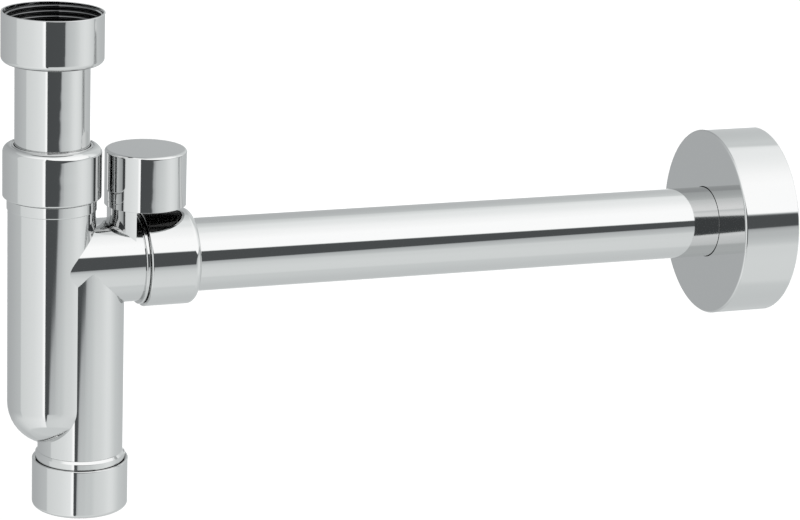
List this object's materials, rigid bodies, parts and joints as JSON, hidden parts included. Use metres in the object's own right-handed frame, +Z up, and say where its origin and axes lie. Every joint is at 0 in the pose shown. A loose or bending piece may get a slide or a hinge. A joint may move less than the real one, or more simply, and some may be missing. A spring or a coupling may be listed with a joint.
{
  "type": "basin trap",
  "caption": "Chromed tubular basin trap: inlet nut and tube, closed leg with riser, cleaning cap, small vent, and a long level outlet pipe with a cup-shaped wall flange.",
  "frame": {"origin": "centre of the inlet nut's mouth, on the inlet's axis", "axes": "+Z up along the inlet's axis, +X along the outlet pipe towards the wall"},
  "size_m": [0.3668, 0.0848, 0.2195],
  "materials": {
    "chrome": "polished chrome plate on brass",
    "rubber": "matt black rubber",
    "plastic": "off-white moulded plastic",
    "black_plastic": "black moulded plastic"
  },
  "bodies": {
    "trap": {"leg_ferrule": "chrome", "leg_tube": "chrome", "riser_tube": "chrome", "branch_tube": "chrome", "branch_ferrule": "chrome", "cleanout_ferrule": "chrome", "leg_wedge_seal": "rubber", "outlet_wedge_seal": "rubber", "vent_boss": "chrome", "vent_dish": "black_plastic", "vent_seat": "plastic"},
    "inlet_pipe": {"inlet_tube": "chrome", "inlet_gasket": "rubber"},
    "inlet_coupling": {"inlet_nut": "chrome"},
    "leg_washer": {"leg_slip_washer": "plastic"},
    "leg_coupling": {"leg_nut": "chrome"},
    "outlet_washer": {"outlet_slip_washer": "plastic"},
    "outlet_coupling": {"outlet_nut": "chrome"},
    "outlet": {"outlet_pipe": "chrome"},
    "flange": {"wall_flange": "chrome", "flange_ring": "rubber"},
    "cap_gasket": {"cap_seal": "rubber"},
    "cap": {"cleaning_cap": "chrome"},
    "hood": {"vent_hood": "chrome"},
    "diaphragm": {"vent_diaphragm": "rubber"}
  },
  "joints": [
    {"name": "inlet_tube_slide", "type": "slide", "parent": "trap", "child": "inlet_pipe", "axis": [0, 0, 1], "range_m": [-0.03, 0.04]},
    {"name": "inlet_nut_turn", "type": "hinge", "parent": "inlet_pipe", "child": "inlet_coupling", "pos_m": [0, 0, 0], "axis": [0, 0, 1], "continuous": true},
    {"name": "leg_nut_travel", "type": "slide", "parent": "trap", "child": "leg_washer", "axis": [0, 0, 1], "range_m": [0, 0.0135]},
    {"name": "leg_nut_turn", "type": "hinge", "parent": "leg_washer", "child": "leg_coupling", "pos_m": [0, 0, -0.068], "axis": [0, 0, 1], "range_deg": [0, 2080]},
    {"name": "outlet_nut_travel", "type": "slide", "parent": "trap", "child": "outlet_washer", "axis": [1, 0, 0], "range_m": [0, 0.0135]},
    {"name": "outlet_nut_turn", "type": "hinge", "parent": "outlet_washer", "child": "outlet_coupling", "pos_m": [0.05, 0, -0.1094], "axis": [1, 0, 0], "range_deg": [0, 2080]},
    {"name": "outlet_pipe_slide", "type": "slide", "parent": "trap", "child": "outlet", "axis": [1, 0, 0], "range_m": [-0.01, 0.015]},
    {"name": "wall_flange_slide", "type": "slide", "parent": "outlet", "child": "flange", "axis": [1, 0, 0], "range_m": [-0.2, 0.005]},
    {"name": "cap_travel", "type": "slide", "parent": "trap", "child": "cap_gasket", "axis": [0, 0, -1], "range_m": [0, 0.016]},
    {"name": "cap_turn", "type": "hinge", "parent": "cap_gasket", "child": "cap", "pos_m": [0.0132, 0, -0.21], "axis": [0, 0, -1], "range_deg": [0, 2490]},
    {"name": "vent_hood_lift", "type": "slide", "parent": "trap", "child": "hood", "axis": [0, 0, 1], "range_m": [0, 0.03]},
    {"name": "vent_diaphragm_lift", "type": "slide", "parent": "trap", "child": "diaphragm", "axis": [0, 0, 1], "range_m": [0, 0.0025]}
  ],
  "couplings": [
    {"joint": "leg_nut_travel", "follows": "leg_nut_turn", "m_per_rad": 0.00036749},
    {"joint": "outlet_nut_travel", "follows": "outlet_nut_turn", "m_per_rad": 0.00036749},
    {"joint": "cap_travel", "follows": "cap_turn", "m_per_rad": 0.00036749}
  ]
}
